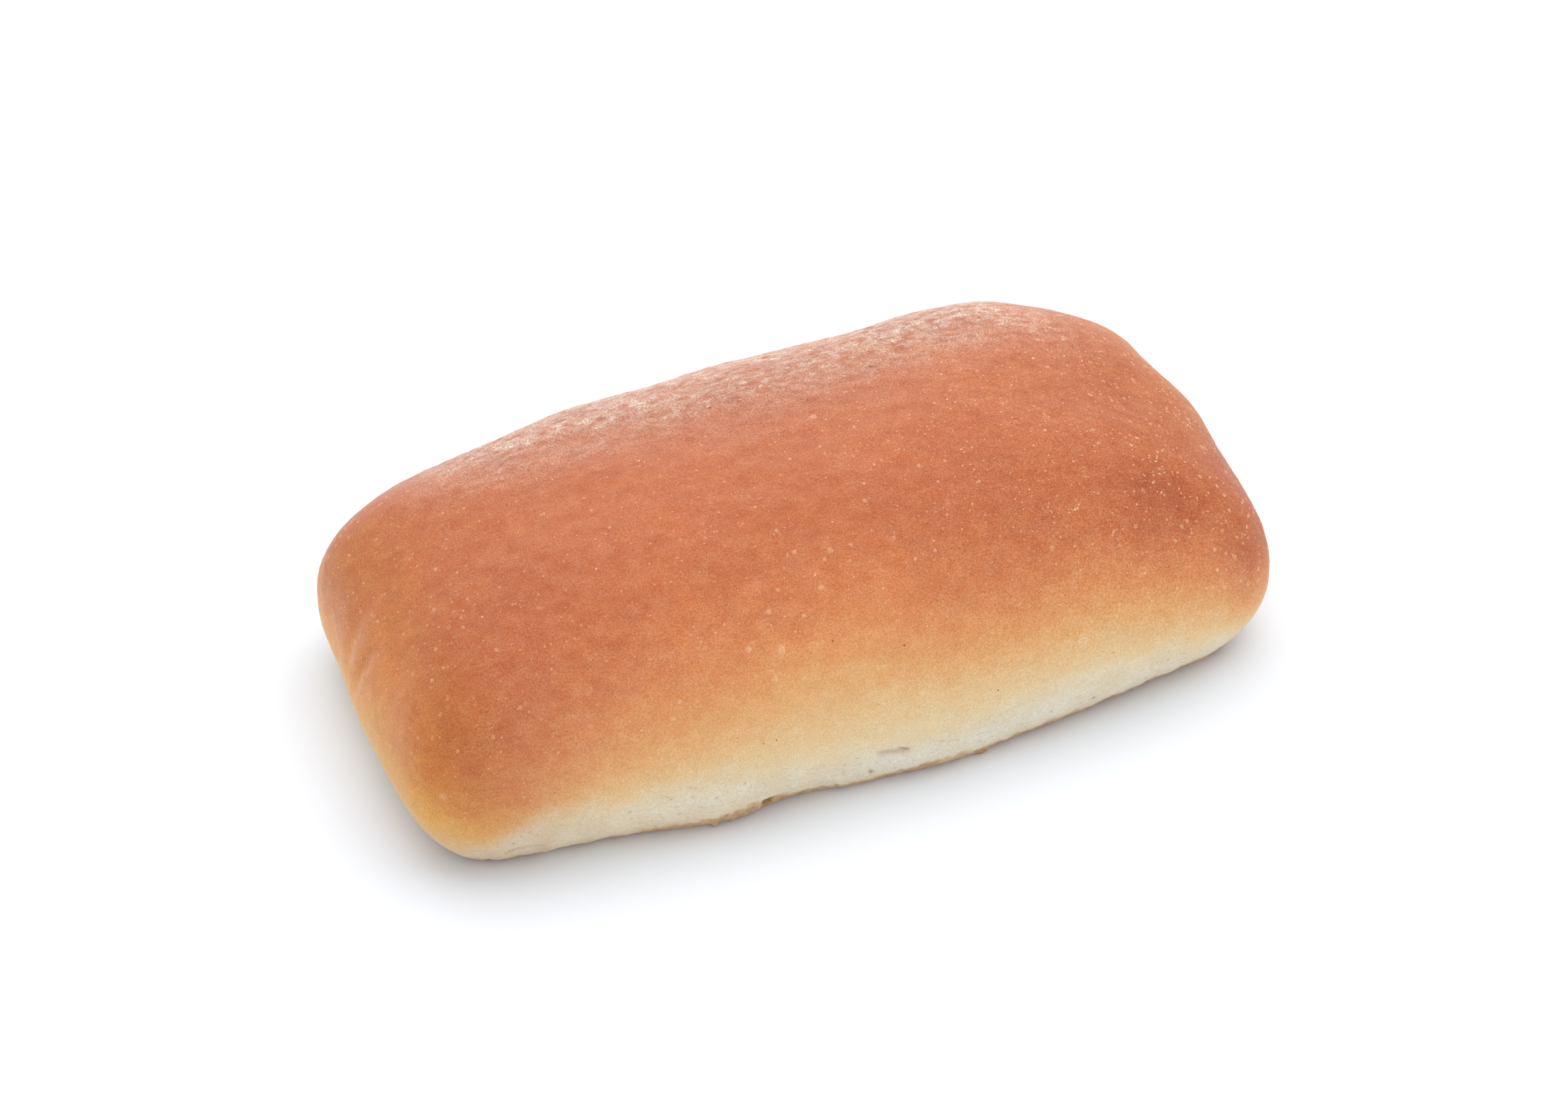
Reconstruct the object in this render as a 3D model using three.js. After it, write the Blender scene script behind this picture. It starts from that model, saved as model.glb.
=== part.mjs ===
// A soft oblong bread roll, baked side by side with its neighbours.
// Millimetres, +Z up. +X runs along the roll, and the torn side that is easy to see faces -Y.
// The roll rests on its flat underside, and the origin is under the middle of its bounding box.
import * as THREE from 'three';
import { mergeVertices } from 'three/addons/utils/BufferGeometryUtils.js';

// Driving sizes
const halfLength = 75;
const halfWidth = 38.8;
const crownHeight = 45;
const waistHeight = 14;

// Plan outline: rounded ends, nearly straight long sides. The rings up the crown turn from this
// oblong at the rim to an oval in the middle, by the squaring power of their share of the radius.
const endPower = 2;
const sidePower = 9;
const ringSquaring = 2.5;

// Crown: how far the top stays level before it falls to the waist, along the roll and across it
const crownPowerAlong = 2.75;
const crownPowerAcross = 2.55;
const crownFullness = 2.25;

// Foot: how far the wall draws in between the waist and the underside
const frontFootInset = 3;
const backFootInset = 3;
const endFootInset = 7.6;
const footCurve = 2.25;
const footRadius = 1.2;

// Unevenness of the whole loaf, each per half length or half width
const widthTaper = 0.026;
const sideBow = -0.6;
const sideSkew = 0.012;
const crownTilt = -0.026;
const bowBalance = 0.33;

// Local swells and hollows of the hand-shaped dough
const swells = [
  { at: [72, 23, 25], reach: 14, rise: -2.6 },   // hollow that cuts off the back right corner
  { at: [60, 28, 31], reach: 14, rise: -0.9 },   // back right shoulder, drawn in
  { at: [73, 4, 24], reach: 14, rise: 0.8 },     // middle of the right end
  { at: [73, -16, 24], reach: 14, rise: 0.4 },   // front lobe of the right end
  { at: [42, 30, 33], reach: 14, rise: 1.5 },    // highest swell of the back edge
  { at: [14, 31, 35], reach: 14, rise: -0.7 },   // dip right of the middle of the back edge
  { at: [3, 31, 35], reach: 14, rise: 0.5 },     // swell in the middle of the back edge
  { at: [-17, 30, 35], reach: 14, rise: -0.9 },  // dip left of the middle
  { at: [-26, 31, 34], reach: 14, rise: 1.3 },   // swell left of the middle
  { at: [-36, 31, 32], reach: 14, rise: -0.7 },  // dip before the back left shoulder
  { at: [-74, 20, 11], reach: 14, rise: -0.8 },  // dip low on the left end
  { at: [-75, -4, 10], reach: 14, rise: 0.6 },   // swell low on the left end
  { at: [-73, -25, 7], reach: 14, rise: -0.8 },  // dip beside the front left corner
  { at: [-66, -33, 2], reach: 13, rise: 1.1 },   // bulge of the front left foot
  { at: [-45, -36, 1], reach: 13, rise: -0.7 },  // dip after that bulge
  { at: [-28, -37, 0], reach: 8, rise: 0.8 },    // lip of the front foot left of its notch
  { at: [-12, -37, 0], reach: 8, rise: -1.2 },   // drawn-in foot right of the notch
  { at: [14, -37, 0], reach: 9, rise: 0.9 },     // swell right of the middle of the front foot
  { at: [52, -36, 1], reach: 13, rise: -0.6 },   // dip towards the right foot
  { at: [68, -30, 2], reach: 13, rise: 0.3 },    // front right foot
];

// Soft folds that run up the left end: place, half the width and half the height of each
const creases = [
  { y: -0.8, z: 21, lean: -0.25, halfWide: 1.4, halfTall: 6, depth: 0.9 },
  { y: 5, z: 22, lean: 0.1, halfWide: 1.8, halfTall: 6, depth: 0.4 },
];

// Mesh fineness
const aroundSteps = 104;
const baseSteps = 3;
const wallSteps = 11;
const wallCrowding = 1.6;
const crownSteps = 27;

const quarterTurn = Math.PI / 2;

/** Across power of the ring at this share of the radius. */
function ringPower(share) {
  return endPower + (sidePower - endPower) * share ** ringSquaring;
}

/** Radius, in shares of the half sizes, at which a ring of this across power lies in this direction. */
function ringReach(angle, power) {
  const along = Math.abs(Math.cos(angle));
  const across = Math.abs(Math.sin(angle));
  let inside = 1;
  let outside = Math.SQRT2;
  for (let round = 0; round < 50; round += 1) {
    const middle = (inside + outside) / 2;
    const value = (middle * along) ** endPower + (middle * across) ** power;
    if (value > 1) {
      outside = middle;
    } else {
      inside = middle;
    }
  }
  return (inside + outside) / 2;
}

/** Profile of the plain blank, from the middle of the underside to the middle of the crown:
 *  level 0 is the underside, 0 to 1 the wall, and 1 to 2 the crown. */
function blankProfile() {
  const points = [];
  for (let i = 0; i <= baseSteps; i += 1) {
    points.push(new THREE.Vector2(i / baseSteps, 0));
  }
  for (let i = 1; i <= wallSteps; i += 1) {
    points.push(new THREE.Vector2(1, (i / wallSteps) ** wallCrowding));
  }
  for (let i = 1; i <= crownSteps; i += 1) {
    const turn = (i / crownSteps) * quarterTurn;
    points.push(new THREE.Vector2(i === crownSteps ? 0 : Math.cos(turn), 1 + i / crownSteps));
  }
  return points;
}

/** Draw-in of the wall below the waist, square to the outline. */
function footInset(endShare, frontSide, drop) {
  const sideInset = frontSide ? frontFootInset : backFootInset;
  return (sideInset * (1 - endShare) + endFootInset * endShare) * drop ** footCurve;
}

/** Draw-in of the small round where the wall meets the underside. */
function footRound(height) {
  const below = Math.max(footRadius - height, 0);
  return footRadius - Math.sqrt(footRadius ** 2 - below ** 2);
}

/** Height above the underside for a share of the radius out from the crown's middle. */
function crownFall(share, endShare) {
  const power = crownPowerAlong * endShare + crownPowerAcross * (1 - endShare);
  return Math.max(1 - share ** power, 0) ** (1 / crownFullness);
}

/** Direction that is roughly square to the surface, from an ellipsoid of the same size. */
function outward(point) {
  const above = Math.max(point.z - waistHeight, 0);
  const direction = new THREE.Vector3(
    point.x / halfLength ** 2,
    point.y / halfWidth ** 2,
    above / crownHeight ** 2,
  );
  return direction.normalize();
}

/** Moves a point by the swells and hollows near it. */
function addSwells(point) {
  for (const swell of swells) {
    const distance = point.distanceTo(new THREE.Vector3(...swell.at));
    const amount = swell.rise * Math.exp(-((distance / swell.reach) ** 2));
    point.addScaledVector(outward(point), amount);
  }
}

/** Presses the folds into the left end. */
function addCreases(point) {
  if (point.x > 0) {
    return;
  }
  for (const crease of creases) {
    const up = (point.z - crease.z) / crease.halfTall;
    const across = (point.y - crease.y - crease.lean * (point.z - crease.z)) / crease.halfWide;
    point.x += crease.depth * Math.exp(-(up ** 2) - across ** 2);
  }
}

/** Turns a point of the blank into a point of the roll. */
function shapeRoll(blank) {
  const angle = Math.atan2(blank.y, blank.x);
  const share = Math.min(Math.hypot(blank.x, blank.y), 1);
  const level = blank.z;
  const power = ringPower(share);
  const reach = ringReach(angle, power);
  const along = reach * Math.cos(angle);
  const across = reach * Math.sin(angle);
  const endShare = Math.abs(along) ** endPower;
  const drop = Math.max(1 - level, 0);

  const slopeX = (along * Math.abs(along) ** (endPower - 2)) / halfLength;
  const slopeY = (across * Math.abs(across) ** (power - 2)) / halfWidth;
  const slope = Math.hypot(slopeX, slopeY);
  const wallZ = waistHeight * (1 - drop);
  const inset = footInset(endShare, across < 0, drop) + footRound(wallZ);
  const rimX = halfLength * along - (inset * slopeX) / slope;
  const rimY = halfWidth * across - (inset * slopeY) / slope;

  const flatX = rimX * share;
  const flatY = rimY * share;
  const lengthShare = flatX / halfLength;
  const y = flatY * (1 + widthTaper * lengthShare) + sideBow * (lengthShare ** 2 - bowBalance);
  const x = flatX + sideSkew * y;

  const top = crownHeight * (1 + (crownTilt * flatY) / halfWidth);
  const crownZ = waistHeight + (top - waistHeight) * crownFall(share, endShare);
  const point = new THREE.Vector3(x, y, level > 1 ? crownZ : wallZ);
  addSwells(point);
  addCreases(point);
  if (level === 0) {
    point.z = 0;
  }
  return point;
}

/** One closed skin: a turned blank, warped to the roll and set over the origin. */
function makeRoll() {
  let geometry = new THREE.LatheGeometry(blankProfile(), aroundSteps);
  geometry.deleteAttribute('normal');
  geometry.deleteAttribute('uv');
  geometry = mergeVertices(geometry);
  geometry.rotateX(quarterTurn);

  const places = geometry.getAttribute('position');
  const blank = new THREE.Vector3();
  for (let i = 0; i < places.count; i += 1) {
    blank.fromBufferAttribute(places, i);
    const point = shapeRoll(blank);
    places.setXYZ(i, point.x, point.y, point.z);
  }

  geometry.computeBoundingBox();
  const middle = geometry.boundingBox.getCenter(new THREE.Vector3());
  geometry.translate(-middle.x, -middle.y, -geometry.boundingBox.min.z);
  geometry.computeVertexNormals();
  return geometry;
}

const crust = new THREE.MeshStandardMaterial({ color: 0xcd7a4a, roughness: 0.62, metalness: 0 });
const roll = new THREE.Mesh(makeRoll(), crust);
roll.name = 'bread_roll';

const group = new THREE.Group();
group.add(roll);

export default group;
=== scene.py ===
"""A soft oblong bread roll on a plain pale floor.

The browned loaf is one closed skin. Its torn sides, crust blisters, char specks, crumb fibres, lint and
torn scraps of bottom crust are pieces of their own that sit on it. The roll's lengths are in millimetres
until a mesh is made. The camera, the lights and the floor are placed in metres.
"""

import math

import bpy
import numpy as np
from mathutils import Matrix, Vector


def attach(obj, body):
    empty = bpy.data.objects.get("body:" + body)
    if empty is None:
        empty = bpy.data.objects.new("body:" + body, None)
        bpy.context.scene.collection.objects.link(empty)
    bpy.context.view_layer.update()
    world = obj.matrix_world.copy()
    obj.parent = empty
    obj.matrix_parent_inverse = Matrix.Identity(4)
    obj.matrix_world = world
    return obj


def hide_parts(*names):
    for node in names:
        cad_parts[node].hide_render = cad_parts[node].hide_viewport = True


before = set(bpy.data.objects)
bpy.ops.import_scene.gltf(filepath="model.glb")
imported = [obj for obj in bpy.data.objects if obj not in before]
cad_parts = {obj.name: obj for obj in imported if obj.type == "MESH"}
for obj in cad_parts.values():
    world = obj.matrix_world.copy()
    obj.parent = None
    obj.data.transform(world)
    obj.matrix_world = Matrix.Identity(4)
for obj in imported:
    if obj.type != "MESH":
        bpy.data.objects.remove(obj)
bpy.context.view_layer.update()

MM = 0.001

# Driving sizes of the loaf, the same as the solid's
HALF_LENGTH = 75.0
HALF_WIDTH = 38.8
CROWN_HEIGHT = 45.0
WAIST_HEIGHT = 14.0
END_POWER = 2.0
SIDE_POWER = 9.0
RING_SQUARING = 2.5
CROWN_POWER_ALONG = 2.75
CROWN_POWER_ACROSS = 2.55
CROWN_FULLNESS = 2.25
FRONT_FOOT_INSET = 3.0
BACK_FOOT_INSET = 3.0
END_FOOT_INSET = 7.6
FOOT_CURVE = 2.25
FOOT_RADIUS = 1.2
WIDTH_TAPER = 0.026
SIDE_BOW = -0.6
SIDE_SKEW = 0.012
CROWN_TILT = -0.026
BOW_BALANCE = 0.33

# Swells and hollows of the dough: place, reach and rise
SWELLS = (
    ((72, 23, 25), 14, -2.6),    # hollow that cuts off the back right corner
    ((60, 28, 31), 14, -0.9),    # back right shoulder, drawn in
    ((73, 4, 24), 14, 0.8),      # middle of the right end
    ((73, -16, 24), 14, 0.4),    # front lobe of the right end
    ((42, 30, 33), 14, 1.5),     # highest swell of the back edge
    ((14, 31, 35), 14, -0.7),    # dip right of the middle of the back edge
    ((3, 31, 35), 14, 0.5),      # swell in the middle of the back edge
    ((-17, 30, 35), 14, -0.9),   # dip left of the middle
    ((-26, 31, 34), 14, 1.3),    # swell left of the middle
    ((-36, 31, 32), 14, -0.7),   # dip before the back left shoulder
    ((-74, 20, 11), 14, -0.8),   # dip low on the left end
    ((-75, -4, 10), 14, 0.6),    # swell low on the left end
    ((-73, -25, 7), 14, -0.8),   # dip beside the front left corner
    ((-66, -33, 2), 13, 1.1),    # bulge of the front left foot
    ((-45, -36, 1), 13, -0.7),   # dip after that bulge
    ((-28, -37, 0), 8, 0.8),     # lip of the front foot left of its notch
    ((-12, -37, 0), 8, -1.2),    # drawn-in foot right of the notch
    ((14, -37, 0), 9, 0.9),      # swell right of the middle of the front foot
    ((52, -36, 1), 13, -0.6),    # dip towards the right foot
    ((68, -30, 2), 13, 0.3),     # front right foot
)

# Folds up the left end, shallower than the solid's: y, z, lean, half the width, half the height, depth
CREASES = (
    (-0.8, 21.0, -0.25, 1.4, 6.0, 0.7),
    (5.0, 22.0, 0.1, 1.8, 6.0, 0.35),
)

# The solid's own middle, before it is centred on its box
MIDDLE = np.array([-0.041, 0.137, 0.0])

# How high the crust starts to colour, is half browned and is fully browned, along the roll
BROWNING_X = (-75, -66, -58, -45, -30, -15, 0, 12, 25, 38, 50, 60, 66, 75)
PALE_HEIGHT = (5, 4, 7, 8, 10, 13, 13.5, 12.5, 13.3, 14, 10.8, 9.8, 6.8, 4)
HALF_HEIGHT = (18, 14, 17, 23.5, 27, 31, 31, 28, 27.5, 27.5, 24.8, 20.2, 14.4, 12)
FULL_HEIGHT = (34, 33, 36, 40, 42.5, 42.5, 43.5, 42.5, 41, 39, 34.5, 32, 25, 24)

# Darker and paler patches of the crust: place, reach and change of browning
PATCHES = (
    ((54, -25, 35), 7, 0.12),     # darkest patch, on the right shoulder
    ((66, -14, 31), 9, 0.05),     # browner crust right of it and behind
    ((58, 4, 36), 10, 0.05),      # browner right shoulder
    ((68, -22, 22), 5, 0.12),     # red streak down the right lobe
    ((67, -28, 17), 4, 0.08),     # foot of that streak
    ((61, -30, 26), 4, -0.05),    # paler gap left of that streak
    ((66, -11, 29), 3, -0.13),    # pale patch above the right lobe
    ((30, -24, 38), 12, 0.05),    # browner stretch left of the darkest patch
    ((-58, -12, 36), 12, 0.05),   # browner stretch on the left
    ((-67, -27, 21), 9, 0.10),    # front left corner
)

# Top edge of the torn crumb and of the bottom crust's edge along the front
CRUMB_X = (-70, -66, -62, -57, -50, -20, -15, -8, 10, 25, 30, 40, 52, 60, 66, 70)
CRUMB_TOP = (2, 7, 10, 12.5, 13.5, 13.5, 12.5, 10.5, 10.5, 11.5, 12, 13.5, 11.5, 8, 5, 3)
FOOT_X = (-70, -60, -52, -40, -30, -25, -20, -17, -15, -10, 5, 10, 18, 30, 45, 60, 70)
FOOT_TOP = (2.5, 1.5, 1, 1.8, 3.2, 3.8, 4.2, 3.8, 2.7, 1.9, 2.3, 3.1, 2.4, 2.4, 2.2, 2.8, 4)

# The torn bands: their ends along the roll, their top, how deep the loaf lies under them, and how deep
# in the loaf their inner rows lie
BAND_LEFT = 68.0
BAND_RIGHT = 69.5
BAND_TOP = 19.0
SINK_DEPTH = 0.9
INNER_DEPTH = 1.8

# Whiter spots of the torn crumb, the same on both sides: x and z, reach both ways and share
WHITE_SPOTS = (
    ((3.5, 6), (10, 3.5), 1.0),
    ((30, 7), (7, 3.5), 0.9),
    ((48, 5), (9, 3.5), 0.6),
    ((18, 6), (5, 3), 0.6),
    ((-28, 8), (14, 3), 0.35),
)

# Tears of the front's crumb: start and end of a split (x, z), half its width, depth and painted shade
SLITS = (
    ((0.6, 9.0), (4.4, 8.3), 0.80, 0.26, 0.36),    # gash
    ((3.6, 9.2), (5.1, 8.4), 0.26, 0.20, 0.35),    # sharp end of the gash
    ((10.0, 8.5), (13.9, 7.1), 0.12, 0.10, 0.22),
    ((17.0, 7.2), (20.6, 6.5), 0.11, 0.08, 0.20),
    ((-57.0, 9.3), (-56.7, 8.6), 0.12, 0.08, 0.25),
    ((-1.2, 5.0), (-0.6, 3.8), 0.35, 0.15, 0.30),
)
PITS = (
    (-0.9, 4.0, 0.35, 0.22),    # x, z, radius and depth
    (-6.3, 1.9, 0.40, 0.25),
    (4.4, 2.5, 0.30, 0.25),
    (30.7, 6.2, 0.28, 0.15),
    (17.5, 1.6, 0.35, 0.25),
    (38.9, 4.9, 0.50, 0.25),
    (48.7, 4.9, 0.32, 0.15),
)

# Larger blisters of the crust: place, half the width and half the height
BLISTERS = (
    ((35.6, -38, 21), 0.95, 1.65),     # largest, low on the front
    ((42, -38, 21.6), 0.40, 0.50),
    ((56.5, -37, 19.4), 0.40, 0.55),
    ((67, -33, 18), 0.50, 0.60),       # on the right lobe
    ((62, -34, 20), 0.30, 0.35),
    ((60.5, -31, 26), 0.40, 0.40),
    ((48, -29, 34), 0.40, 0.40),
    ((44, -29, 34), 0.35, 0.35),
    ((48.5, -12, 41), 0.35, 0.35),
    ((65.5, -13.5, 29), 1.10, 0.60),   # pale patch near the right end
    ((-8, -22, 42), 0.45, 0.45),       # middle of the front half
    ((-2.5, -23, 42), 0.50, 0.50),
    ((-3.5, -24.5, 41), 0.40, 0.38),
    ((6.5, -16.5, 44), 0.45, 0.45),
    ((-10.5, -12, 44), 0.35, 0.35),
    ((-9, -17.5, 43), 0.35, 0.40),
    ((-6, -28, 39), 0.55, 0.50),
    ((1, -23.5, 42), 0.35, 0.40),
    ((-15, -28.5, 37.5), 0.50, 0.50),
    ((-12.5, -26.5, 39.5), 0.35, 0.35),
    ((-10, -30.5, 36.5), 0.40, 0.40),
    ((14, -27, 39), 0.35, 0.35),
    ((25, -18.5, 42.5), 0.35, 0.35),
    ((33, -30.5, 36), 0.40, 0.40),
    ((-19.5, -32, 34), 0.60, 0.65),    # pair left of the middle, with a third below it
    ((-14.5, -33, 33), 0.65, 0.95),
    ((-16.5, -35, 29.5), 0.45, 0.70),
    ((-32.5, -34, 29.5), 0.40, 0.40),  # left of that pair
    ((-34, -35, 27), 0.40, 0.40),
    ((7, -37.5, 20), 0.50, 0.60),      # low on the front
    ((5.5, 3.5, 45), 0.60, 0.55),      # behind the middle of the crown
    ((13, 7.5, 44.5), 0.45, 0.35),
    ((20, -2, 44.5), 0.32, 0.32),
    ((12, -10, 44.5), 0.32, 0.32),
    ((21.5, -13, 44), 0.32, 0.32),
    ((-8.5, 13.5, 43.5), 0.40, 0.35),
    ((-60, -12.5, 36), 0.36, 0.36),    # left end
    ((-67.5, -17, 31), 0.40, 0.40),
    ((-57, -28.5, 32), 0.36, 0.36),
    ((-62, -29.5, 28), 0.36, 0.36),
    ((-70.5, -30, 18.6), 0.75, 0.80),
    ((-68.5, 23.5, 27), 0.35, 0.60),
    ((-62, 23, 32), 0.70, 0.35),
)

# Clusters of tiny grains painted pale as glints, most of them at the right end: place, spread and count
GLINT_GRAIN_CLUSTERS = (
    ((68, -6, 31), 1.6, 14),
    ((56, -18.5, 37), 0.5, 5),
    ((67.5, 1, 31.5), 1.0, 5),
    ((65, 10.8, 32), 1.2, 5),
    ((68, -26, 22), 1.6, 7),
    ((39, -26, 38), 0.3, 3),
)

# Char specks: place and radius
SPECKS = (
    ((-19.4, -38, 18.5), 0.13),
    ((-17.5, -38, 18.3), 0.15),
    ((14.2, -38.5, 13.8), 0.15),
    ((17.9, -38.5, 13.4), 0.14),
    ((20.6, -38.5, 15.7), 0.15),
    ((15.9, -38.5, 10), 0.12),
    ((19, -38.5, 16.8), 0.11),
    ((15.3, -38.5, 12.1), 0.12),
    ((41.2, -38, 15.8), 0.14),
    ((-54, -35, 18), 0.12),
    ((5, -35.5, 29), 0.16),
    ((-6, -33.5, 32.5), 0.16),
)

# How strongly the crust curves under a blister, in 1/mm, and how much more where it is crinkled
CRUST_CURVE = 0.07
CRINKLE_CURVE = 0.30

# Rings of a blister's or a speck's dome, from its skirt up: share of the radius, of the height, and rim
DOME_RINGS = (
    (1.3, -0.4, 1.0),
    (1.0, 0.0, 1.0),
    (0.74, 0.20, 0.45),
    (0.42, 0.68, 0.1),
)
BLISTER_LIFT = 0.13     # height of a dome per half width
SPECK_LIFT = 0.2
BLISTER_SCALE = 1.2     # how much larger the larger blisters are made than listed
SPECK_STRETCH = 1.2     # how tall a speck is for its width

# The crust's wrinkles run towards the front as they go right
WRINKLE_TURN = math.radians(-22)

# How many small things are scattered, and the seeds of their random draws
BLISTER_COUNT = 1500
SPECK_COUNT = 70
FIBRE_COUNT = 420
BLISTER_SEED = 21
SPECK_SEED = 22
FIBRE_SEED = 23
LINT_SEED = 24

# The long pale fibres of the front's crumb: place and length
LONG_FIBRES = (
    ((-50.8, -37, 13.0), 3.0),
    ((-55.0, -36, 11.6), 2.6),
    ((-35.4, -38, 11.2), 3.0),
    ((-31.9, -38, 12.4), 2.2),
)
LONG_FIBRE_RADIUS = 0.05

# Middles of the two curls of lint, and their radius
LINT_PLACES = ((26.2, 16.7, 42), (19.1, 13.0, 43.3))
LINT_RADIUS = 0.055

# Torn scraps of bottom crust: place, and half the size along, across and up
SCRAPS = (
    ((-27.2, -35.3, 1.1), (0.7, 0.35, 0.9)),
    ((-24.0, -35.6, 0.9), (0.9, 0.3, 0.5)),
    ((18.8, -36.3, 0.6), (0.8, 0.35, 0.5)),
    ((19.6, -36.4, 0.9), (0.4, 0.3, 0.6)),
)

# Fineness of the meshes: half the crown's grid along and across, the rows of the wall and the underside,
# and the columns and rows of the torn bands
CROWN_STEPS = (150, 92)
WALL_ROWS = 22
BASE_ROWS = 4
FRONT_BAND_GRID = (740, 104)
BACK_BAND_GRID = (420, 60)

# Camera: angles in degrees, lens and sensor in millimetres, distance and target in metres
CAMERA_AZIMUTH = -21.96
CAMERA_ELEVATION = 44.0
CAMERA_DISTANCE = 1.0
CAMERA_LENS = 140.74
SENSOR_WIDTH = 36.0
CAMERA_TARGET = (-0.00077, 0.00029, 0.0201)

# Floor and lights, in metres and watts
FLOOR_SIZE = 6.0
FLOOR_COLOUR = (0.87, 0.915, 0.985, 1)
WORLD_STRENGTH = 0.76
SOFT_BOX_PLACE = (0.22, 0.30, 1.26)
SOFT_BOX_SIZE = (2.0, 1.2)
SOFT_BOX_WATTS = 14.4
SHEEN_CARD_PLACE = (0.38, 1.5, 0.42)
SHEEN_CARD_SIZE = (0.8, 0.6)
SHEEN_CARD_WATTS = 4.5
LIGHT_TARGET = (0, 0, 0.02)


# ---------------------------------------------------------------- shapes

def smooth(low, high, value):
    """0 below low, 1 above high, and an S-shaped rise between them."""
    share = np.clip((value - low) / (high - low), 0, 1)
    return share * share * (3 - 2 * share)


def ripples(points, wavelength, seed, waves=28, spread=0.35, stretch=(1, 1, 1)):
    """Soft random relief of about unit size: a sum of plane waves in random directions.

    Each wave's length is near the given one, and stretch lengthens the pattern along an axis.
    """
    random = np.random.default_rng(seed)
    heading = random.normal(size=(waves, 3))
    heading /= np.linalg.norm(heading, axis=1)[:, None]
    lengths = wavelength * (1 + spread * random.uniform(-1, 1, waves))
    steps = heading * (2 * math.pi / lengths)[:, None] / np.array(stretch)
    phases = random.uniform(0, 2 * math.pi, waves)
    total = np.zeros(points.shape[:-1])
    for step, phase in zip(steps, phases):
        total += np.cos(points @ step + phase)
    return total * math.sqrt(2 / waves)


def ring_reach(angle, power):
    """Radius, in shares of the half sizes, at which (r cos)^END_POWER + (r sin)^power is 1."""
    along, across = np.abs(np.cos(angle)), np.abs(np.sin(angle))
    inside, outside = np.ones(angle.shape), np.full(angle.shape, math.sqrt(2))
    for _ in range(50):
        middle = (inside + outside) / 2
        over = (middle * along) ** END_POWER + (middle * across) ** power > 1
        outside = np.where(over, middle, outside)
        inside = np.where(over, inside, middle)
    return (inside + outside) / 2


def outward(points):
    """Direction roughly square to the surface: the gradient of an ellipsoid of the same size."""
    above = np.maximum(points[..., 2] - WAIST_HEIGHT, 0)
    direction = np.stack([
        points[..., 0] / HALF_LENGTH ** 2,
        points[..., 1] / HALF_WIDTH ** 2,
        above / CROWN_HEIGHT ** 2,
    ], axis=-1)
    return direction / np.maximum(np.linalg.norm(direction, axis=-1, keepdims=True), 1e-12)


def loaf_points(angle, level, share):
    """Points of the smooth loaf.

    angle goes round the roll. level is 0 at the underside, 1 at the waist and 2 at the crown.
    share is the radius share from the axis (0) to the rim (1). The plan outline is a superellipse,
    the wall draws in below the waist, and the crown falls as a power curve from its middle.
    """
    angle, level, share = np.broadcast_arrays(angle, level, share)
    power = END_POWER + (SIDE_POWER - END_POWER) * share ** RING_SQUARING
    reach = ring_reach(angle, power)
    along, across = reach * np.cos(angle), reach * np.sin(angle)
    end_share = np.abs(along) ** END_POWER
    drop = np.maximum(1 - level, 0)

    slope_x = along * np.abs(along) ** (END_POWER - 2) / HALF_LENGTH
    slope_y = across * np.abs(across) ** (power - 2) / HALF_WIDTH
    slope = np.hypot(slope_x, slope_y)
    wall_z = WAIST_HEIGHT * (1 - drop)
    side_inset = np.where(across < 0, FRONT_FOOT_INSET, BACK_FOOT_INSET)
    inset = (side_inset * (1 - end_share) + END_FOOT_INSET * end_share) * drop ** FOOT_CURVE
    below = np.maximum(FOOT_RADIUS - wall_z, 0)
    inset = inset + FOOT_RADIUS - np.sqrt(FOOT_RADIUS ** 2 - below ** 2)
    flat_x = (HALF_LENGTH * along - inset * slope_x / slope) * share
    flat_y = (HALF_WIDTH * across - inset * slope_y / slope) * share

    length_share = flat_x / HALF_LENGTH
    y = flat_y * (1 + WIDTH_TAPER * length_share) + SIDE_BOW * (length_share ** 2 - BOW_BALANCE)
    x = flat_x + SIDE_SKEW * y
    fall_power = CROWN_POWER_ALONG * end_share + CROWN_POWER_ACROSS * (1 - end_share)
    fall = np.maximum(1 - share ** fall_power, 0) ** (1 / CROWN_FULLNESS)
    crown_z = WAIST_HEIGHT + (CROWN_HEIGHT * (1 + CROWN_TILT * flat_y / HALF_WIDTH) - WAIST_HEIGHT) * fall
    points = np.stack([x, y, np.where(level > 1, crown_z, wall_z)], axis=-1)

    for place, reach_mm, rise in SWELLS:
        distance = np.linalg.norm(points - np.array(place, float), axis=-1)
        points = points + (rise * np.exp(-(distance / reach_mm) ** 2))[..., None] * outward(points)
    for y0, z0, lean, half_wide, half_tall, depth in CREASES:
        up = (points[..., 2] - z0) / half_tall
        side = (points[..., 1] - y0 - lean * (points[..., 2] - z0)) / half_wide
        press = depth * np.exp(-up ** 2 - side ** 2) * (points[..., 0] < 0)
        points = points + press[..., None] * np.array([1.0, 0, 0])
    points[..., 2] = np.where(level <= 0, 0, points[..., 2])
    return points - MIDDLE


def soft_rise(low, high, value, corner=2.5):
    """0 below low, 1 above high and straight in between, with rounded corners."""
    def ramp(distance):
        return (distance + np.sqrt(distance ** 2 + corner ** 2)) / 2
    return (ramp(value - low) - ramp(value - high)) / (high - low)


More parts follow.
